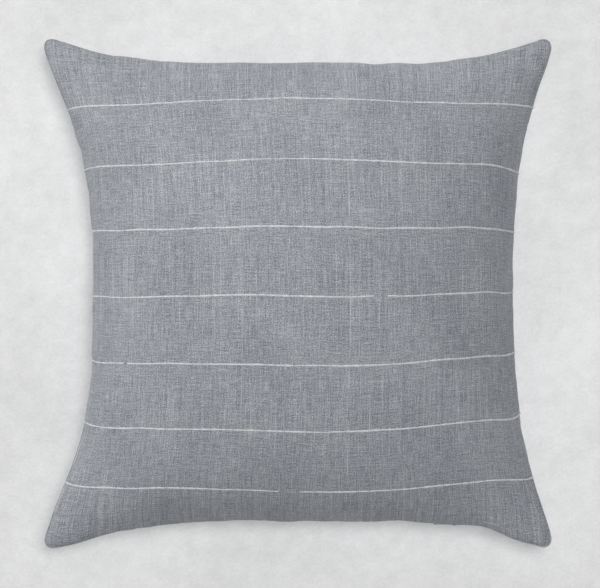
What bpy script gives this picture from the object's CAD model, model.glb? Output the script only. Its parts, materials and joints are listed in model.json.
"""Looks of the throw pillow: a striped slub-weave cover over a filled insert, on a pale plain floor.

Metres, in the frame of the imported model. The cover's two panels are simulated as cloth that is held at
the model's own seam line and kept near its curved faces. The result is drawn again on a finer grid that
carries the flat cloth's coordinates. The insert's case and filling are drawn in from the same grids.
"""
import json
from math import pi

import bpy
import numpy as np
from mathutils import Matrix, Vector
from mathutils.bvhtree import BVHTree


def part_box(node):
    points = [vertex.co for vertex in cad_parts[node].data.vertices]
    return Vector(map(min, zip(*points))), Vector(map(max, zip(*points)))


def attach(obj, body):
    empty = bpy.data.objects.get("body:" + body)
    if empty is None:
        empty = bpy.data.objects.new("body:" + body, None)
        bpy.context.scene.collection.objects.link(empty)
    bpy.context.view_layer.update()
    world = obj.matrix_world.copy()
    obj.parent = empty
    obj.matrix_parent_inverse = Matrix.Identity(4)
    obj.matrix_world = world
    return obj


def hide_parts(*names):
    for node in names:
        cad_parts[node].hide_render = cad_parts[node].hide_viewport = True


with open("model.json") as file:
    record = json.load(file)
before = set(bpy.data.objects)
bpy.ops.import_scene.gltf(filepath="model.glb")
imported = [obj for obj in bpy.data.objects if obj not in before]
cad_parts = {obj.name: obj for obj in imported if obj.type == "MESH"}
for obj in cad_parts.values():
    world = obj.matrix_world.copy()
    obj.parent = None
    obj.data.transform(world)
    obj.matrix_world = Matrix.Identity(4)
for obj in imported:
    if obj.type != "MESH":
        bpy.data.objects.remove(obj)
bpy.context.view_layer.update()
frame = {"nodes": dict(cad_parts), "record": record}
JOINTS = {joint["name"]: joint for joint in frame["record"]["behaviour"]["joints"]}
PIVOT = Vector(JOINTS["pull_swing"]["pos_m"])
SEAM_Z = PIVOT.z
FRONT, BACK = 1, -1
SIDE_NAMES = {FRONT: "front", BACK: "back"}
SEED = 11

# ---- the model's outline and faces -----------------------------------------------------------------
SEAM_PROBES = (0.00005, 0.0011) # heights over the seam at which the outline is felt
OUTLINE_POINTS = 241
OUTLINE_ROUNDS = 3              # how often the outline is evened out
OUTER_SHARE = 0.5               # what is met nearer the middle than this share of the ears isn't the edge
EAR_TIP = 0.006                 # this near to an ear's tip the outline runs out to the tip
EAR_SLOPE = 0.02                # less this share of the way to the tip
TABLE_CELLS = 150
SPACING_ROUNDS = 5

# ---- the simulated cloth ---------------------------------------------------------------------------
CLOTH = 0.508                   # one side of the flat square of cloth
SIM_CELLS = 64
SIM_FRAMES = 22
SIM_CAP = 0.011                 # how far the cloth may leave the model's surface
PRESSURE = {FRONT: 5.0, BACK: 4.0}
CLOTH_SETTINGS = {
    "quality": 7,
    "mass": 0.25,
    "tension_stiffness": 25,
    "compression_stiffness": 12,
    "shear_stiffness": 6,
    "bending_stiffness": 1.2,
    "tension_damping": 12,
    "shear_damping": 12,
    "air_damping": 4,
    "pin_stiffness": 1,
    "use_pressure": True,
}
SMOOTHING = 2
FLOOR_GAP = 0.0002
REST_ROUNDS = 3

# ---- the cover, drawn fine -------------------------------------------------------------------------
FINE_CELLS = 200
EDGE_CROWDING = 0.55            # 0 is an even grid, towards 1 its lines crowd at the seam
CLOTH_THICK = 0.0008
EAR_ROUND = 0.066               # radius of the ears as a share of the half side
EAR_FLAT = 0.0045               # the cloth comes down to the seam over this depth at the ears
EAR_FULLER = 0.0029             # the rounded ears reach this much further out, along X and Y
EAR_REACH = 0.035
EAR_FADE = 0.04                 # the groove fades out towards the ears over this share of the side
SEAM_TUCK = 0.0017              # depth of the groove at the seam
SEAM_TUCK_WIDE = 0.0030
BULGE = 0.0013                  # the cloth stands out this far beside the groove
BULGE_DEPTH = 0.008
LEFT_EDGE, RIGHT_EDGE, BOTTOM_EDGE, TOP_EDGE = range(4)
SWELLS = (                      # edge, share along it, spread as a share, how much further out
    (LEFT_EDGE, 0.40, 0.50, -0.0016),
    (LEFT_EDGE, 0.18, 0.10, -0.0008),
    (RIGHT_EDGE, 0.25, 0.10, 0.0020),
    (RIGHT_EDGE, 0.74, 0.08, 0.0010),
    (BOTTOM_EDGE, 0.22, 0.12, 0.0024),
    (BOTTOM_EDGE, 0.07, 0.04, 0.0020),
    (BOTTOM_EDGE, 0.60, 0.12, -0.0012),
    (BOTTOM_EDGE, 0.79, 0.05, 0.0022),
    (BOTTOM_EDGE, 0.92, 0.05, 0.0060),
    (TOP_EDGE, 0.22, 0.08, 0.0012),
    (TOP_EDGE, 0.88, 0.07, -0.0015),
)
SWELL_REACH = 0.030
PUCKER = 0.00055                # height, spacing and reach of the seam's puckers
PUCKER_PITCH = 0.0045
PUCKER_REACH = 0.011
PUCKER_START = 0.0015           # they rise from the seam over this depth
PUCKER_SLIP = 0.003             # their noise is read from this far along, on the back the other way
PUCKER_GROUPS = 0.030           # spacing of the stretches where they are stronger or weaker
PUCKER_EVEN, PUCKER_UNEVEN = 0.55, 0.45
WAVE = 0.0011                   # a broad soft unevenness beside the seam: height, spacing, depth, width
WAVE_PITCH = 0.022
WAVE_DEPTH = 0.012
WAVE_WIDTH = 0.016
LEAN_LEFT = (0, 0.011, 0.006, 0.002, 0, 0, -0.006, -0.010, 0)   # how far the front's threads are drawn up
LEAN_RIGHT = (0, 0.018, 0.014, 0.012, 0.005, -0.001, -0.009, -0.004, 0)     # along the left and right seams
LEAN_REACH = 0.042
LEAN_STEPS = 8
LEAN_ROUNDS = 12

# ---- the edge along the zipper ---------------------------------------------------------------------
BAY = (-0.128, 0.176)           # stretch of the edge where the two panels part
BAY_FADE = 0.010
BAY_DEPTH = 0.004
LIP = 0.0010                    # half the gap between the two lips of the bay
PULL_WAY = (-0.135, 0.165)      # stretch that is kept clear for the pull
PULL_WAY_FADE = 0.012
PULL_WAY_HEIGHT = 0.0032        # half its height, with the height over which it fades on each panel
PULL_WAY_SOFT = {FRONT: 0.0025, BACK: 0.010}
PULL_WAY_OUT = 0.0012           # the cloth stays this far inside the pull's pivot

# ---- the stripes -----------------------------------------------------------------------------------
STRIPES = 7
STRIPE_SHIFT = 0.007            # the front was cut this share of its side off its stripes' middle
STRIPE_SPAN = (0.004, 0.996)    # the yarns end just short of the seams
STRIPE_STEPS = 420
STRIPE_RING = 8
STRIPE_WIDE = 0.00085           # half a yarn's width and height
STRIPE_HIGH = 0.00045
STRIPE_LIFT = 0.00022           # how high its middle lies on the cloth
STRIPE_BOB = 0.00016            # it rises and falls this far as it passes over and under
STRIPE_BOB_PITCH = 0.0023
STRIPE_WANDER = 0.0006          # it strays this far along the weave, with this spacing
STRIPE_WANDER_PITCH = 0.030
SLUB_PITCH = 0.0035             # short slubs: their spacing and their share of the width and height
SLUB_WIDE = 0.32
SLUB_HIGH = 0.30
SLOW_PITCH = 0.018              # long slubs: their spacing, share of the width, and lift
SLOW_WIDE = 0.22
SLOW_LIFT = 0.00008
STRIPE_END = 0.006              # share of the side over which an end dips into the seam
STRIPE_DIP = 0.0012
STRIPE_FLOOR_GAP = 0.00002
HIDDEN = {3: (0.640, 0.662), 4: (0.135, 0.140), 6: (0.464, 0.500)}  # stretches under the cloth, by stripe
HIDDEN_DIP = 0.0013
HIDDEN_SOFT = 0.004
THIN = {1: (0.44, 0.50), 6: (0.38, 0.54)}   # stretches where a yarn is thin
THIN_SHARE = 0.45
THIN_SOFT = 0.02

# ---- what is inside --------------------------------------------------------------------------------
INSERT_STEP = 4                 # the insert's grid takes every fourth line of the cover's
INSERT_SCALE = 0.940
INSERT_GAP = 0.0022
INSERT_THICK = 0.0004
SEAM_PLY = 0.0003               # half the gap between the two halves of the case at their seam
FILLING_SCALE = 0.900
FILLING_GAP = 0.0036

# ---- weave, light, floor and camera ----------------------------------------------------------------
YARN_PITCH = 0.00115
YARN_DRIFT = 0.0014
PALE_THREADS = (                # place, width, strength
    (0.3005, 0.0010, 0.42),
    (0.195, 0.0009, 0.22),
    (0.173, 0.0009, 0.18),
)
KEY_LIGHT = ((-3.0, 2.6, 2.4), (0, 0, 0.05), 1.6, 100)          # place, aim, side, power
TOP_LIGHT = ((0.25, 0.28, 3.2), (0, 0, 0), 0.8, 45)
STUDIO_COLOUR = (0.97, 0.98, 1.0, 1)
STUDIO_STRENGTH = 0.23
FLOOR_REACH = 14.0
FLOOR_CELLS = 28
CAMERA_PLACE = (0.0026, -0.0007, SEAM_Z + 2.0)
CAMERA_SENSOR = 36
CAMERA_LENS = 125.7
CAMERA_CLIP = 20


# ---- small sums ------------------------------------------------------------------------------------
def eased(t):
    """A share from 0 to 1 with a soft start and end."""
    return t * t * (3 - 2 * t)


def evened(curve, rounds):
    """A row of numbers with its small unevenness taken out, its two ends kept."""
    out = curve.copy()
    for _ in range(rounds):
        out[1:-1] = (out[:-2] + 2 * out[1:-1] + out[2:]) / 4
    return out


def within(t, span, soft):
    """1 inside a stretch and 0 outside it, with soft ends."""
    return np.clip(np.minimum(t - span[0], span[1] - t) / soft + 1, 0, 1)


def smooth_noise(places, pitch, seed):
    """Smooth random curve from -1 to 1 with the given spacing of its knots."""
    knots = np.random.default_rng(seed).uniform(-1, 1, int(places.max() / pitch) + 4)
    k = places / pitch
    base = np.floor(k).astype(int)
    t = eased(k - base)
    return knots[base] * (1 - t) + knots[base + 1] * t


# ---- reading the model -----------------------------------------------------------------------------
def face_tree(node):
    """A model node's triangles, ready for ray casting."""
    obj = frame["nodes"][node]
    mesh = obj.data
    mesh.calc_loop_triangles()
    points = np.empty(len(mesh.vertices) * 3)
    mesh.vertices.foreach_get("co", points)
    triangles = np.empty(len(mesh.loop_triangles) * 3, dtype=np.int32)
    mesh.loop_triangles.foreach_get("vertices", triangles)
    world = np.array(obj.matrix_world)
    points = points.reshape(-1, 3) @ world[:3, :3].T + world[:3, 3]
    return BVHTree.FromPolygons(points.tolist(), triangles.reshape(-1, 3).tolist())


TREES = {FRONT: face_tree("cover_front_panel"), BACK: face_tree("cover_back_panel")}
BOX_LOW, BOX_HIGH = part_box("cover_front_panel")
EAR = min(-BOX_LOW[0], -BOX_LOW[1], BOX_HIGH[0], BOX_HIGH[1])


def seam_reach(axis, sign, along):
    """Where the seam's outline is met, coming from outside towards the middle."""
    best = None
    for height in SEAM_PROBES:
        start = [0.0, 0.0, SEAM_Z + height]
        start[axis] = sign * 2 * EAR
        start[1 - axis] = along
        direction = Vector((0, 0, 0))
        direction[axis] = -sign
        hit = TREES[FRONT].ray_cast(Vector(start), direction)[0]
        if hit is not None and (best is None or sign * hit[axis] > best):
            best = sign * hit[axis]
    return best


def seam_outline():
    """The four sides of the model's seam: the distance from the middle at even places between the ears."""
    places = np.linspace(-EAR, EAR, OUTLINE_POINTS)
    ears = np.abs(places) > EAR - EAR_TIP
    sides = {}
    for name, axis, sign in (("left", 0, -1), ("right", 0, 1), ("bottom", 1, -1), ("top", 1, 1)):
        found = [seam_reach(axis, sign, place) for place in places]
        known = [k for k, reach in enumerate(found) if reach is not None and reach > OUTER_SHARE * EAR]
        reach = np.interp(np.arange(OUTLINE_POINTS), known, [found[k] for k in known])
        reach = np.where(ears, np.maximum(reach, EAR - (EAR - np.abs(places)) * EAR_SLOPE), reach)
        sides[name] = sign * evened(reach, OUTLINE_ROUNDS)
    return places, sides


SIDE_PLACES, SIDES = seam_outline()


def plan(a, b):
    """Point in plan for a and b from -1 to 1, left to right and bottom to top."""
    left, right = (np.interp(b * EAR, SIDE_PLACES, SIDES[name]) for name in ("left", "right"))
    bottom, top = (np.interp(a * EAR, SIDE_PLACES, SIDES[name]) for name in ("bottom", "top"))
    return left + (right - left) * (a + 1) / 2, bottom + (top - bottom) * (b + 1) / 2


def surface_table(face):
    """The model's curved face as a table of points, close together towards the seam."""
    steps = np.sin(np.linspace(-pi / 2, pi / 2, TABLE_CELLS + 1))
    a, b = np.meshgrid(steps, steps, indexing="ij")
    x, y = plan(a, b)
    z = np.full_like(x, SEAM_Z)
    for i in range(1, TABLE_CELLS):
        for j in range(1, TABLE_CELLS):
            start = Vector((x[i, j], y[i, j], SEAM_Z + face * 2 * EAR))
            hit = TREES[face].ray_cast(start, Vector((0, 0, -face)))[0]
            z[i, j] = SEAM_Z if hit is None else hit.z
    return np.stack([x, y, z], axis=-1)


def walked(table):
    """Share of the way along the first axis of a table of points, by the length of its lines."""
    steps = np.linalg.norm(np.diff(table, axis=0), axis=-1)
    length = np.concatenate([np.zeros((1, table.shape[1])), np.cumsum(steps, axis=0)])
    return length / length[-1]


def sample(table, i, j):
    """Bilinear value of a table at fractional indices."""
    i0 = np.clip(np.floor(i).astype(int), 0, len(table) - 2)
    j0 = np.clip(np.floor(j).astype(int), 0, table.shape[1] - 2)
    fi, fj = (i - i0)[..., None], (j - j0)[..., None]
    low = table[i0, j0] * (1 - fi) + table[i0 + 1, j0] * fi
    high = table[i0, j0 + 1] * (1 - fi) + table[i0 + 1, j0 + 1] * fi
    return low * (1 - fj) + high * fj


def index_at(shares, column, share):
    """Fractional row at which a column of shares reaches a value."""
    first = min(int(column), shares.shape[1] - 2)
    t = column - first
    mixed = shares[:, first] * (1 - t) + shares[:, first + 1] * t
    return np.interp(share, mixed, np.arange(len(mixed)))


def dome(face, cells):
    """The model's curved face as a grid whose lines are evenly spaced, as the threads of the cloth are."""
    table = surface_table(face)
    across, up = walked(table), walked(table.transpose(1, 0, 2))
    share = np.linspace(0, 1, cells + 1)
    u, v = np.meshgrid(share, share, indexing="ij")
    i, j = u * TABLE_CELLS, v * TABLE_CELLS
    for _ in range(SPACING_ROUNDS):
        for k in np.ndindex(u.shape):
            i[k] = index_at(across, j[k], u[k])
        for k in np.ndindex(u.shape):
            j[k] = index_at(up, i[k], v[k])
    return sample(table, i, j)


# ---- grids and meshes ------------------------------------------------------------------------------
def grid_faces(rows, columns, flip=False):
    """The quads of a grid of points, as rows of point numbers."""
    index = np.arange(rows * columns).reshape(rows, columns)
    quads = np.stack([index[:-1, :-1], index[1:, :-1], index[1:, 1:], index[:-1, 1:]], axis=-1)
    quads = quads.reshape(-1, 4)
    return quads[:, ::-1] if flip else quads


def grid_rim(size):
    """The numbers of the points round the edge of a square grid, in order."""
    index = np.arange(size * size).reshape(size, size)
    return np.concatenate([index[:-1, 0], index[-1, :-1], index[:0:-1, -1], index[0, :0:-1]])


def grid_normals(points, face):
    """Unit normals of a grid of points, out of the pillow."""
    du = np.gradient(points, axis=0)
    dv = np.gradient(points, axis=1)
    n = np.cross(du, dv) * face
    n /= np.maximum(np.linalg.norm(n, axis=-1, keepdims=True), 1e-12)
    return n


def new_object(name, points, faces, uv=None):
    """Smooth-shaded mesh object. uv gives one pair per vertex."""
    mesh = bpy.data.meshes.new(name)
    mesh.from_pydata(points.reshape(-1, 3).tolist(), [], faces)
    if uv is not None:
        layer = mesh.uv_layers.new(name="cloth")
        loops = np.empty(len(mesh.loops), dtype=np.int32)
        mesh.loops.foreach_get("vertex_index", loops)
        layer.data.foreach_set("uv", uv.reshape(-1, 2)[loops].ravel())
    mesh.polygons.foreach_set("use_smooth", [True] * len(mesh.polygons))
    mesh.update()
    obj = bpy.data.objects.new(name, mesh)
    bpy.context.scene.collection.objects.link(obj)
    return obj


def shell_object(name, points, uv, face, thick):
    """A sheet of cloth as a closed mesh with a thickness, from the grid of its outside."""
    size = len(points)
    inner = points - grid_normals(points, face) * thick
    outside = grid_faces(size, size, face < 0)
    inside = grid_faces(size, size, face > 0) + size * size
    rim = grid_rim(size)
    following = np.roll(rim, -1)
    band = np.stack([following, rim, rim + size * size, following + size * size], axis=-1)
    band = band[:, ::-1] if face < 0 else band
    both = np.concatenate([points.reshape(-1, 3), inner.reshape(-1, 3)])
    both_uv = np.concatenate([uv.reshape(-1, 2)] * 2)
    return new_object(name, both, np.concatenate([outside, inside, band]).tolist(), both_uv)


def catmull_blend(before, first, second, after, t):
    """Catmull-Rom curve through four points, between the middle two."""
    return 0.5 * (2 * first + (second - before) * t + (2 * before - 5 * first + 4 * second - after) * t**2
                  + (3 * first - before - 3 * second + after) * t**3)


def catmull_at(grid, i, column):
    """Points of a grid between its rows i, each in its own column."""
    cells = len(grid) - 1
    base = np.clip(np.floor(i).astype(int), 0, cells - 1)
    t = (i - base)[..., None]
    first, second = grid[base, column], grid[base + 1, column]
    before = grid[np.clip(base - 1, 0, cells), column]
    after = grid[np.clip(base + 2, 0, cells), column]
    before = np.where((base == 0)[..., None], 2 * first - second, before)
    after = np.where((base == cells - 1)[..., None], 2 * second - first, after)
    return catmull_blend(before, first, second, after, t)


def resample(grid, u, v):
    """A grid of points at finer parameters from 0 to 1, given for each point."""
    cells = len(grid) - 1
    i, j = u * cells, v * cells
    base = np.clip(np.floor(j).astype(int), 0, cells - 1)
    t = (j - base)[..., None]
    columns = (np.clip(base + step, 0, cells) for step in (-1, 0, 1, 2))
    before, first, second, after = (catmull_at(grid, i, column) for column in columns)
    before = np.where((base == 0)[..., None], 2 * first - second, before)
    after = np.where((base == cells - 1)[..., None], 2 * second - first, after)
    return catmull_blend(before, first, second, after, t)


# ---- cloth simulation ------------------------------------------------------------------------------
def inflate(face, start):
    """The panel blown up as cloth cut square, held at the seam and kept near the model's surface."""
    cells = len(start) - 1
    side = np.linspace(-CLOTH / 2, CLOTH / 2, cells + 1)
    flat_x, flat_y = np.meshgrid(side, side, indexing="ij")
    quads = grid_faces(cells + 1, cells + 1, face < 0)
    obj = new_object("sim_%s" % SIDE_NAMES[face], start, quads.tolist())
    obj.shape_key_add(name="start")
    flat = obj.shape_key_add(name="flat")
    flat_points = np.stack([flat_x, flat_y, np.full_like(flat_x, SEAM_Z)], axis=-1)
    flat.data.foreach_set("co", flat_points.ravel())
    group = obj.vertex_groups.new(name="seam")
    group.add(sorted(grid_rim(cells + 1).tolist()), 1.0, "REPLACE")
    cloth = obj.modifiers.new("Cloth", "CLOTH")
    settings = cloth.settings
    for name, value in CLOTH_SETTINGS.items():
        setattr(settings, name, value)
    settings.vertex_group_mass = "seam"
    settings.rest_shape_key = flat
    settings.uniform_pressure_force = PRESSURE[face]
    settings.effector_weights.gravity = 0
    cloth.collision_settings.use_collision = False
    cloth.collision_settings.use_self_collision = False
    cloth.point_cache.frame_start = 1
    cloth.point_cache.frame_end = SIM_FRAMES
    scene = bpy.context.scene
    for number in range(1, SIM_FRAMES + 1):
        scene.frame_set(number)
    evaluated = obj.evaluated_get(bpy.context.evaluated_depsgraph_get())
    points = np.empty(len(evaluated.data.vertices) * 3)
    evaluated.data.vertices.foreach_get("co", points)
    points = points.reshape(cells + 1, cells + 1, 3)
    scene.frame_set(1)
    bpy.data.objects.remove(obj, do_unlink=True)
    moved = points - start
    length = np.linalg.norm(moved, axis=-1, keepdims=True)
    capped = SIM_CAP * np.tanh(length / SIM_CAP)
    return start + moved * capped / np.maximum(length, 1e-9)


def smoothed(points, rounds):
    """Points with the small unevenness of their inner lines evened out."""
    out = points.copy()
    for _ in range(rounds):
        mean = (out[:-2, 1:-1] + out[2:, 1:-1] + out[1:-1, :-2] + out[1:-1, 2:]) / 4
        out[1:-1, 1:-1] = (out[1:-1, 1:-1] + mean) / 2
    return out


def rested(points):
    """The underside pressed flat on the floor."""
    out = points.copy()
    for _ in range(REST_ROUNDS):
        out[..., 2] = np.maximum(out[..., 2], FLOOR_GAP)
        out = smoothed(out, 1)
    out[..., 2] = np.maximum(out[..., 2], FLOOR_GAP)
    return out


# ---- the cover's fine shape ------------------------------------------------------------------------
def crowded(count):
    """Parameters from 0 to 1, closer together near both ends."""
    t = np.linspace(0, 1, count + 1)
    return (1 - EDGE_CROWDING) * t + EDGE_CROWDING * (1 - np.cos(pi * t)) / 2


def rounded(a, b):
    """The same two fractions with the corners of their square rounded."""
    p = np.clip((np.abs(a) - 1) / EAR_ROUND + 1, 0, 1)
    q = np.clip((np.abs(b) - 1) / EAR_ROUND + 1, 0, 1)
    in_a = EAR_ROUND * (p - p * np.sqrt(1 - q * q / 2))
    in_b = EAR_ROUND * (q - q * np.sqrt(1 - p * p / 2))
    return a - np.sign(a) * in_a, b - np.sign(b) * in_b


def lean(across, up, face):
    """How far the threads of the front panel lean along its seams, as a share of the cloth."""
    total = np.zeros_like(up)
    if face == BACK:
        return total
    places = np.linspace(0, 1, len(LEAN_LEFT))
    fine = np.linspace(0, 1, LEAN_STEPS * (len(places) - 1) + 1)
    for amounts, near in ((LEAN_LEFT, 1 - across), (LEAN_RIGHT, across)):
        curve = evened(np.interp(fine, places, amounts), LEAN_ROUNDS)
        total += np.interp(up, fine, curve) / CLOTH * np.exp(-(1 - near) * CLOTH / LEAN_REACH)
    return total


def seam_shift(edge, depth, along, ends):
    """How far the cloth moves in from one edge: its seam's groove, less its bulge and swells."""
    tuck = SEAM_TUCK * np.exp(-((depth / SEAM_TUCK_WIDE) ** 2)) * ends
    out = BULGE * np.exp(-(((depth - BULGE_DEPTH) / BULGE_DEPTH) ** 2)) * ends
    for swelling, middle, spread, amount in SWELLS:
        if swelling == edge:
            out += amount * np.exp(-(((along - middle) / spread) ** 2) - (depth / SWELL_REACH) ** 2)
    return tuck - out


def seam_rise(face, edge, depth, along, ends):
    """How far the cloth rises beside one edge: the seam's puckers and a broad soft unevenness."""
    place = along * CLOTH
    seed = SEED + 10 * edge + face
    wave = smooth_noise(place + PUCKER_SLIP * face, PUCKER_PITCH, seed)
    group = smooth_noise(place, PUCKER_GROUPS, seed + 100)
    rise = (PUCKER * wave * (PUCKER_EVEN + PUCKER_UNEVEN * group) * np.exp(-depth / PUCKER_REACH)
            * (1 - np.exp(-depth / PUCKER_START)) * ends)
    broad = (WAVE * smooth_noise(place, WAVE_PITCH, seed + 200)
             * np.exp(-((depth - WAVE_DEPTH) / WAVE_WIDTH) ** 2) * ends)
    return rise + broad


def fine_panel(face, coarse):
    """The panel's fine grid with its seam, puckers and ears, its cloth coordinates and its lines."""
    u = crowded(FINE_CELLS)
    cu, cv = np.meshgrid(u, u, indexing="ij")
    a, b = rounded(2 * cu - 1, 2 * cv - 1)
    across, up = (a + 1) / 2, (b + 1) / 2
    points = resample(coarse, across, np.clip(up + lean(across, up, face), 0, 1))
    near_u, near_v = np.minimum(cu, 1 - cu), np.minimum(cv, 1 - cv)
    ear = np.exp(-((np.hypot(near_u, near_v) * CLOTH / EAR_REACH) ** 2))
    low = ear * (1 - eased(np.clip(np.minimum(near_u, near_v) * CLOTH / EAR_FLAT, 0, 1)))
    points[..., 2] = SEAM_Z + (points[..., 2] - SEAM_Z) * (1 - low)
    normals = grid_normals(points, face)
    edges = (
        (LEFT_EDGE, cu, cv, 0, 1),
        (RIGHT_EDGE, 1 - cu, cv, 0, -1),
        (BOTTOM_EDGE, cv, cu, 1, 1),
        (TOP_EDGE, 1 - cv, cu, 1, -1),
    )
    for edge, share, along, axis, inward in edges:
        depth = share * CLOTH
        ends = np.clip(np.minimum(along, 1 - along) / EAR_FADE, 0, 1)
        points[..., axis] += seam_shift(edge, depth, along, ends) * inward
        points += normals * seam_rise(face, edge, depth, along, ends)[..., None]
    points[..., 0] += np.sign(cu - 0.5) * (EAR_FULLER * ear)
    points[..., 1] += np.sign(cv - 0.5) * (EAR_FULLER * ear)
    x = points[..., 0]
    bay = np.clip(np.minimum(x - BAY[0], BAY[1] - x) / BAY_FADE, 0, 1)
    points[..., 2] += face * LIP * bay * np.exp(-((cv * CLOTH / BAY_DEPTH) ** 2))
    return points, np.stack([cu, cv], axis=-1), u


def clear_zipper(points, face):
    """The edge kept flat along the zipper, so that the pull can pass under the front's fold."""
    x, y, z = points[..., 0], points[..., 1], points[..., 2]
    limit = PIVOT.y + PULL_WAY_OUT
    along = np.clip(np.minimum(x - PULL_WAY[0], PULL_WAY[1] - x) / PULL_WAY_FADE, 0, 1)
    level = np.clip(1 - (np.abs(z - SEAM_Z) - PULL_WAY_HEIGHT) / PULL_WAY_SOFT[face], 0, 1)
    near = eased(along * level)
    out = points.copy()
    out[..., 1] = np.where(y < limit, y + (limit - y) * near, y)
    return out


# ---- materials -------------------------------------------------------------------------------------
def srgb(r, g, b):
    """Linear colour from eight-bit sRGB numbers."""
    out = []
    for value in (r, g, b):
        c = value / 255
        out.append(c / 12.92 if c <= 0.04045 else ((c + 0.055) / 1.055) ** 2.4)
    return (*out, 1.0)


class Graph:
    """Short-hand for building a node material."""

    def __init__(self, name):
        self.material = bpy.data.materials.new(name)
        self.material.use_nodes = True
        self.nodes = self.material.node_tree.nodes
        self.links = self.material.node_tree.links
        self.bsdf = self.nodes["Principled BSDF"]

    def put(self, socket, value):
        """A link or a plain value for one socket."""
        if hasattr(value, "is_output"):
            self.links.new(value, socket)
        elif value is not None:
            socket.default_value = value

    def math(self, operation, a, b=None, c=None, clamp=False):
        node = self.nodes.new("ShaderNodeMath")
        node.operation = operation
        node.use_clamp = clamp
        for k, value in enumerate((a, b, c)):
            self.put(node.inputs[k], value)
        return node.outputs[0]

    def weighed(self, a, share_a, b, share_b):
        """The sum of two values, each times its share."""
        return self.math("ADD", self.math("MULTIPLY", a, share_a), self.math("MULTIPLY", b, share_b))

    def mix(self, factor, a, b):
        node = self.nodes.new("ShaderNodeMix")
        node.data_type = "RGBA"
        self.put(node.inputs[0], factor)
        self.put(node.inputs[6], a)
        self.put(node.inputs[7], b)
        return node.outputs[2]

    def scaled(self, vector, scale, offset=(0, 0, 0)):
        node = self.nodes.new("ShaderNodeMapping")
        self.put(node.inputs["Vector"], vector)
        node.inputs["Scale"].default_value = scale
        node.inputs["Location"].default_value = offset
        return node.outputs[0]

    def noise(self, vector, scale, detail, rough=0.5):
        node = self.nodes.new("ShaderNodeTexNoise")
        self.put(node.inputs["Vector"], vector)
        node.inputs["Scale"].default_value = scale
        node.inputs["Detail"].default_value = detail
        node.inputs["Roughness"].default_value = rough
        return node.outputs[0]

    def spread(self, value, low, high, to_low=0.0, to_high=1.0):
        """A value's range from low to high drawn out to another, and cut off there."""
        node = self.nodes.new("ShaderNodeMapRange")
        for k, number in enumerate((value, low, high, to_low, to_high)):
            self.put(node.inputs[k], number)
        return node.outputs[0]

    def uv(self):
        node = self.nodes.new("ShaderNodeUVMap")
        node.uv_map = "cloth"
        return node.outputs[0]

    def place(self):
        return self.nodes.new("ShaderNodeTexCoord").outputs["Object"]

    def separate(self, vector):
        node = self.nodes.new("ShaderNodeSeparateXYZ")
        self.put(node.inputs[0], vector)
        return node.outputs

    def bump(self, height, distance, strength):
        node = self.nodes.new("ShaderNodeBump")
        node.inputs["Strength"].default_value = strength
        node.inputs["Distance"].default_value = distance
        self.put(node.inputs["Height"], height)
        self.put(self.bsdf.inputs["Normal"], node.outputs[0])

    def finish(self, colour, roughness, sheen=0.0, tint=(1, 1, 1, 1)):
        self.put(self.bsdf.inputs["Base Color"], colour)
        self.put(self.bsdf.inputs["Roughness"], roughness)
        self.bsdf.inputs["Specular IOR Level"].default_value = 0.25
        if sheen:
            self.bsdf.inputs["Sheen Weight"].default_value = sheen
            self.bsdf.inputs["Sheen Roughness"].default_value = 0.45
            self.bsdf.inputs["Sheen Tint"].default_value = tint
        return self.material


def weave_height(g, coords, pitch):
    """Height of a plain weave, and how far warp shows over weft, from coordinates in metres."""
    x, y, _ = g.separate(coords)
    warp = g.math("SINE", g.math("MULTIPLY", x, pi / pitch))
    weft = g.math("SINE", g.math("MULTIPLY", y, pi / pitch))
    over = g.math("MULTIPLY", warp, weft)
    across = g.math("MAXIMUM", g.math("ABSOLUTE", warp), g.math("ABSOLUTE", weft))
    return g.math("MULTIPLY_ADD", over, 0.35, across), over


def drifting(g, coords):
    """Coordinates in metres whose threads wander a little."""
    drift = g.math("MULTIPLY", g.math("SUBTRACT", g.noise(coords, 30, 2), 0.5), YARN_DRIFT)
    both = g.nodes.new("ShaderNodeCombineXYZ")
    g.put(both.inputs[0], drift)
    g.put(both.inputs[1], drift)
    shifted = g.nodes.new("ShaderNodeVectorMath")
    shifted.operation = "ADD"
    g.put(shifted.inputs[0], coords)
    g.put(shifted.inputs[1], both.outputs[0])
    return shifted.outputs[0]


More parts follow.
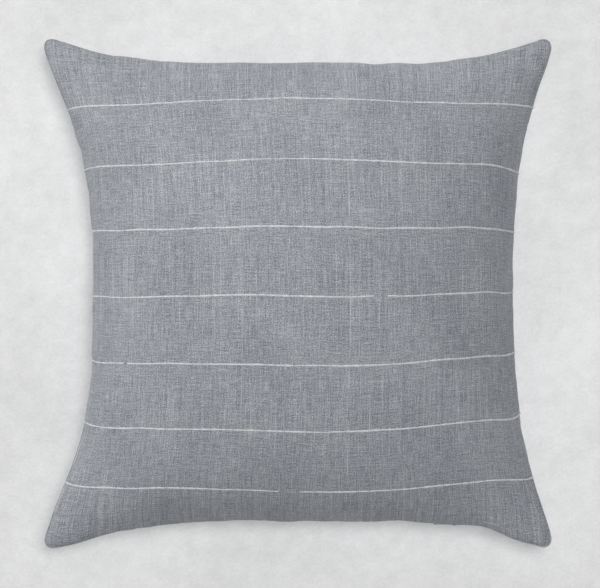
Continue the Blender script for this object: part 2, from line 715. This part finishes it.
def cover_cloth():
    """Heathered slub weave: pale and blue-grey fibres in both directions, with uneven yarns."""
    g = Graph("cover_cloth_weave")
    cloth = drifting(g, g.scaled(g.uv(), (CLOTH, CLOTH, 1)))
    warp_fine = g.noise(g.scaled(cloth, (1050, 62, 1)), 1, 3, 0.65)
    weft_fine = g.noise(g.scaled(cloth, (70, 1150, 1), (7.3, 2.1, 0)), 1, 3, 0.65)
    warp_long = g.noise(g.scaled(cloth, (820, 9, 1), (1.7, 9.2, 0)), 1, 2, 0.6)
    weft_long = g.noise(g.scaled(cloth, (8, 700, 1), (4.1, 3.3, 0)), 1, 2, 0.6)
    patches = g.noise(g.scaled(cloth, (19, 13, 1)), 1, 3, 0.55)
    grain = g.noise(cloth, 760, 2, 0.7)

    # tone of the fibres, thread by thread
    height, over = weave_height(g, cloth, YARN_PITCH)
    share = g.spread(over, -0.5, 0.5)
    yarn = g.weighed(warp_fine, share, weft_fine, g.math("SUBTRACT", 1.0, share))
    streaks = g.weighed(warp_long, 0.68, weft_long, 0.32)
    tone = g.weighed(g.weighed(yarn, 0.55, grain, 0.45), 0.82, streaks, 0.18)
    tone = g.math("ADD", tone, g.math("MULTIPLY", g.math("SUBTRACT", patches, 0.5), 0.07))

    # colour: dark to pale by tone, a bluer hue in places, then the paler slubs
    level = g.spread(tone, 0.39, 0.61)
    middle = srgb(153, 156, 162)
    low = g.mix(g.spread(level, 0.0, 0.5), srgb(99, 104, 112), middle)
    colour = g.mix(g.spread(level, 0.5, 1.0), low, srgb(204, 206, 208))
    hue = g.noise(g.scaled(cloth, (500, 40, 1), (3.0, 5.0, 0)), 1, 2)
    colour = g.mix(g.spread(hue, 0.52, 0.75, 0.0, 0.24), colour, srgb(146, 152, 166))
    slub = g.spread(warp_long, 0.61, 0.76)
    colour = g.mix(g.math("MULTIPLY", slub, 0.26), colour, srgb(212, 213, 214))
    slub_weft = g.spread(weft_long, 0.62, 0.76)
    colour = g.mix(g.math("MULTIPLY", slub_weft, 0.18), colour, srgb(210, 211, 213))

    # a few single pale warp threads, broken along their length
    x, _, _ = g.separate(cloth)
    for place, width, strength in PALE_THREADS:
        away = g.math("ABSOLUTE", g.math("SUBTRACT", x, place))
        line = g.math("SUBTRACT", 1.0, g.math("DIVIDE", away, width), clamp=True)
        broken = g.spread(g.noise(g.scaled(cloth, (1, 45, 1), (place * 50, 0, 0)), 1, 2), 0.35, 0.60)
        shown = g.math("MULTIPLY", g.math("MULTIPLY", line, broken), strength)
        colour = g.mix(shown, colour, srgb(224, 225, 227))
    g.bump(g.weighed(height, 0.5, tone, 1.4), 0.00045, 0.8)
    return g.finish(colour, 0.88, sheen=0.22, tint=srgb(225, 228, 235))


def yarn_material(name, shade, accent, scale=1400):
    """Twisted fibre yarn: lengthwise fibres that vary from one shade to another."""
    g = Graph(name)
    fibre = g.noise(g.scaled(g.place(), (scale * 0.15, scale, scale)), 1, 3, 0.6)
    colour = g.mix(g.spread(fibre, 0.35, 0.68), shade, accent)
    g.bump(fibre, 0.0002, 0.5)
    return g.finish(colour, 0.85, sheen=0.2)


def weave_material(name, shade, accent, pitch, rough=0.85):
    """Plain woven cloth on object coordinates, for the insert, the tapes and the labels."""
    g = Graph(name)
    where = g.place()
    height, _ = weave_height(g, where, pitch)
    flecks = g.noise(g.scaled(where, (420, 420, 420)), 1, 3, 0.6)
    soft = g.noise(g.scaled(where, (22, 22, 22)), 1, 2)
    level = g.weighed(flecks, 0.7, soft, 0.3)
    colour = g.mix(g.spread(level, 0.35, 0.65), shade, accent)
    g.bump(g.math("ADD", height, flecks), 0.00025, 0.5)
    return g.finish(colour, rough, sheen=0.15)


def fibre_material():
    """Loose polyester fibre filling."""
    g = Graph("insert_fibre_fill")
    where = g.place()
    tufts = g.noise(where, 90, 5, 0.7)
    strands = g.noise(g.scaled(where, (900, 260, 500)), 1, 3, 0.7)
    level = g.weighed(tufts, 0.6, strands, 0.4)
    colour = g.mix(g.spread(level, 0.35, 0.62), srgb(206, 206, 203), srgb(246, 246, 244))
    g.bump(level, 0.002, 0.8)
    return g.finish(colour, 0.95, sheen=0.3)


def coil_material():
    """Moulded nylon with a faint grain."""
    g = Graph("zipper_nylon")
    grain = g.noise(g.place(), 2600, 3, 0.6)
    colour = g.mix(g.spread(grain, 0.35, 0.65), srgb(116, 121, 130), srgb(138, 143, 151))
    g.bump(grain, 0.00005, 0.4)
    return g.finish(colour, 0.42)


def enamel_material():
    """Enamelled zinc: paint with a slight orange peel, worn a little paler in patches."""
    g = Graph("zipper_enamel")
    peel = g.noise(g.place(), 1800, 2)
    wear = g.noise(g.place(), 420, 4, 0.7)
    colour = g.mix(g.spread(wear, 0.60, 0.74), srgb(120, 124, 131), srgb(154, 157, 162))
    g.bump(peel, 0.00004, 0.3)
    g.bsdf.inputs["Metallic"].default_value = 0.25
    g.bsdf.inputs["Coat Weight"].default_value = 0.35
    g.bsdf.inputs["Coat Roughness"].default_value = 0.2
    return g.finish(colour, g.spread(wear, 0.4, 0.7, 0.30, 0.46))


def floor_material():
    """Pale mottled plaster."""
    g = Graph("floor_plaster")
    where = g.place()
    clouds = g.noise(where, 5, 4, 0.6)
    specks = g.noise(where, 60, 4, 0.65)
    grit = g.noise(where, 330, 3, 0.7)
    level = g.math("ADD", g.weighed(clouds, 0.45, specks, 0.30), g.math("MULTIPLY", grit, 0.25))
    colour = g.mix(g.spread(level, 0.38, 0.62), srgb(226, 226, 226), srgb(247, 247, 247))
    g.bump(g.math("ADD", specks, g.math("MULTIPLY", grit, 0.6)), 0.0012, 0.5)
    return g.finish(colour, 0.9)


def paint(obj, material):
    """The one material of an object."""
    obj.data.materials.clear()
    obj.data.materials.append(material)


# ---- the cover -------------------------------------------------------------------------------------
def finish_piece(obj, node, material):
    """Everything that a piece is told about itself: all of them ride on the pillow."""
    paint(obj, material)
    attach(obj, "pillow")
    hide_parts(node)


def build_panel(face, material):
    """One panel of the cover as cloth with a thickness. Gives back its fine grid and the grid's lines."""
    side = SIDE_NAMES[face]
    start = dome(face, SIM_CELLS)
    coarse = smoothed(inflate(face, start), SMOOTHING)
    if face == BACK:
        coarse = rested(coarse)
    points, uv, u = fine_panel(face, coarse)
    points = clear_zipper(points, face)
    if face == BACK:
        points[..., 2] = np.maximum(points[..., 2], FLOOR_GAP)
    obj = shell_object("cover_%s" % side, points, uv, face, CLOTH_THICK)
    finish_piece(obj, "cover_%s_panel" % side, material)
    return points, u


def stripe_rings(face, row, points, normals, u):
    """One stripe yarn as rings of points round its line in the weave, from one side seam to the other."""
    v = 1 - (row + 1) / (STRIPES + 1) - (STRIPE_SHIFT if face == FRONT else 0)
    first, last = STRIPE_SPAN
    t = np.linspace(first, last, STRIPE_STEPS)
    place = t * CLOTH
    seed = SEED + 10 * row + face
    wander = STRIPE_WANDER * smooth_noise(place, STRIPE_WANDER_PITCH, seed + 400) / CLOTH
    slub = smooth_noise(place, SLUB_PITCH, seed + 500)
    slow = smooth_noise(place, SLOW_PITCH, seed + 600)

    lines = np.arange(len(u))
    at_u, at_v = np.interp(t, u, lines), np.interp(v + wander, u, lines)
    centre, normal = sample(points, at_u, at_v), sample(normals, at_u, at_v)
    normal /= np.linalg.norm(normal, axis=1, keepdims=True)
    tangent = np.gradient(centre, axis=0)
    tangent /= np.linalg.norm(tangent, axis=1, keepdims=True)
    across = np.cross(normal, tangent)

    wide = STRIPE_WIDE * (1 + SLUB_WIDE * slub + SLOW_WIDE * slow)
    high = STRIPE_HIGH * (1 + SLUB_HIGH * slub)
    lift = STRIPE_LIFT + STRIPE_BOB * np.sin(place / STRIPE_BOB_PITCH * pi) + SLOW_LIFT * slow
    if face == FRONT and row in THIN:
        wide = wide * (1 - THIN_SHARE * within(t, THIN[row], THIN_SOFT))
    if face == FRONT and row in HIDDEN:
        lift = lift - HIDDEN_DIP * within(t, HIDDEN[row], HIDDEN_SOFT)
    ends = np.clip(np.minimum(t - first, last - t) / STRIPE_END, 0, 1)
    lift = lift - STRIPE_DIP * (1 - ends)
    angles = np.arange(STRIPE_RING) * 2 * pi / STRIPE_RING
    return (centre[:, None] + across[:, None] * (wide[:, None] * np.cos(angles))[..., None]
            + normal[:, None] * (lift[:, None] + high[:, None] * np.sin(angles))[..., None])


def build_stripes(face, points, u, material):
    """The stripe yarns of one panel, as slubby strands that lie in the weave."""
    side = SIDE_NAMES[face]
    normals = grid_normals(points, face)
    strands, faces = [], []
    for row in range(STRIPES):
        rings = stripe_rings(face, row, points, normals, u)
        index = np.arange(STRIPE_STEPS * STRIPE_RING).reshape(STRIPE_STEPS, STRIPE_RING)
        index += row * index.size
        turned = np.roll(index, -1, axis=1)
        body = np.stack([index[:-1], index[1:], turned[1:], turned[:-1]], axis=-1)
        strands.append(rings.reshape(-1, 3))
        faces += body.reshape(-1, 4).tolist()
        faces += [index[0].tolist(), index[-1][::-1].tolist()]
    stacked = np.concatenate(strands)
    if face == BACK:
        stacked[:, 2] = np.maximum(stacked[:, 2], STRIPE_FLOOR_GAP)
    obj = new_object("stripes_%s" % side, stacked, faces)
    finish_piece(obj, "stripe_yarns_%s" % side, material)


# ---- what is inside --------------------------------------------------------------------------------
def inside_grid(face, points, scale, gap):
    """Every fourth point of a panel's grid, drawn in to a scale in plan and a gap under its crown."""
    inner = points[::INSERT_STEP, ::INSERT_STEP] * np.array((scale, scale, 1.0))
    rise = face * (inner[..., 2] - SEAM_Z)
    inner[..., 2] = SEAM_Z + face * np.maximum(rise * (1 - gap / rise.max()), 0)
    return inner


def build_insert_case(face, points, material):
    """One half of the insert's case, as cloth with a thickness."""
    side = SIDE_NAMES[face]
    grid = inside_grid(face, points, INSERT_SCALE, INSERT_GAP)
    grid[..., 2] += face * SEAM_PLY
    share = np.linspace(0, 1, len(grid))
    uv = np.stack(np.meshgrid(share, share, indexing="ij"), axis=-1)
    obj = shell_object("insert_case_%s" % side, grid, uv, face, INSERT_THICK)
    finish_piece(obj, "insert_shell_%s" % side, material)


def build_filling(panels, material):
    """The filling as one closed body, from both faces of the cover."""
    front, back = (inside_grid(face, panels[face], FILLING_SCALE, FILLING_GAP) for face in (FRONT, BACK))
    size = len(front)
    rim = grid_rim(size)
    on_back = np.arange(size * size) + size * size
    on_back[rim] = rim
    quads = np.concatenate([grid_faces(size, size), on_back[grid_faces(size, size, True)]])
    both = np.concatenate([front.reshape(-1, 3), back.reshape(-1, 3)])
    used = np.unique(quads)
    number = np.zeros(len(both), dtype=int)
    number[used] = np.arange(len(used))
    obj = new_object("insert_fill", both[used], number[quads].tolist())
    finish_piece(obj, "insert_filling", material)


# ---- light, floor and camera -----------------------------------------------------------------------
def area_light(name, place, aim, side, power):
    data = bpy.data.lights.new(name, "AREA")
    data.shape = "RECTANGLE"
    data.size, data.size_y = side, side
    data.energy = power
    obj = bpy.data.objects.new(name, data)
    obj.location = place
    obj.rotation_euler = (Vector(aim) - Vector(place)).to_track_quat("-Z", "Y").to_euler()
    bpy.context.scene.collection.objects.link(obj)
    return obj


def build_floor():
    side = np.linspace(-FLOOR_REACH, FLOOR_REACH, FLOOR_CELLS + 1)
    x, y = np.meshgrid(side, side, indexing="ij")
    points = np.stack([x, y, np.zeros_like(x)], axis=-1)
    floor = new_object("floor", points, grid_faces(FLOOR_CELLS + 1, FLOOR_CELLS + 1).tolist())
    paint(floor, floor_material())
    return floor


def build_lights(floor):
    """A key light that casts no shadow of the pillow, one above that casts a soft one, and the room."""
    key = area_light("key", *KEY_LIGHT)
    shadows = bpy.data.collections.new("key_shadows")
    shadows.objects.link(floor)
    key.light_linking.blocker_collection = shadows
    area_light("top", *TOP_LIGHT)
    world = bpy.data.worlds.new("studio")
    world.use_nodes = True
    world.node_tree.nodes["Background"].inputs[0].default_value = STUDIO_COLOUR
    world.node_tree.nodes["Background"].inputs[1].default_value = STUDIO_STRENGTH
    scene = bpy.context.scene
    scene.world = world
    scene.view_settings.view_transform = "Standard"
    scene.view_settings.look = "None"
    scene.view_settings.exposure = 0


def build_camera():
    """A long lens straight above, as the pillow is seen."""
    camera = bpy.data.cameras.new("camera")
    camera.sensor_width = CAMERA_SENSOR
    camera.lens = CAMERA_LENS
    camera.clip_end = CAMERA_CLIP
    obj = bpy.data.objects.new("camera", camera)
    obj.location = CAMERA_PLACE
    bpy.context.scene.collection.objects.link(obj)
    bpy.context.scene.camera = obj


# ---- build -----------------------------------------------------------------------------------------
cloth_material = cover_cloth()
stripe_material = yarn_material("stripe_slub_yarn", srgb(186, 187, 189), srgb(230, 231, 232))
grids = {}
for face in (FRONT, BACK):
    grids[face], lines = build_panel(face, cloth_material)
    build_stripes(face, grids[face], lines, stripe_material)

cambric = weave_material("insert_cambric", srgb(232, 230, 223), srgb(246, 245, 240), 0.0006)
for face in (FRONT, BACK):
    build_insert_case(face, grids[face], cambric)
build_filling(grids, fibre_material())

sewing = yarn_material("cover_sewing_thread", srgb(112, 118, 128), srgb(142, 147, 156), 3000)
insert_sewing = yarn_material("insert_sewing_thread", srgb(224, 222, 216), srgb(244, 243, 240), 3000)
satin = weave_material("label_satin", srgb(228, 227, 222), srgb(244, 243, 240), 0.0004, 0.5)
tape = weave_material("zipper_tape_weave", srgb(108, 114, 124), srgb(136, 141, 150), 0.0005)
nylon = coil_material()
enamel = enamel_material()
NODE_MATERIALS = {
    "cover_seam_thread": sewing,
    "cover_overlock_thread": sewing,
    "zipper_stitching": sewing,
    "insert_seam_thread": insert_sewing,
    "insert_closing_stitches": insert_sewing,
    "care_label": satin,
    "insert_tag": satin,
    "zipper_tape_front": tape,
    "zipper_tape_back": tape,
    "zipper_teeth_front": nylon,
    "zipper_teeth_back": nylon,
    "zipper_slider": enamel,
    "zipper_pull": enamel,
    "zipper_top_stops": enamel,
    "zipper_bottom_stop": enamel,
}
for node, material in NODE_MATERIALS.items():
    paint(frame["nodes"][node], material)

build_lights(build_floor())
build_camera()
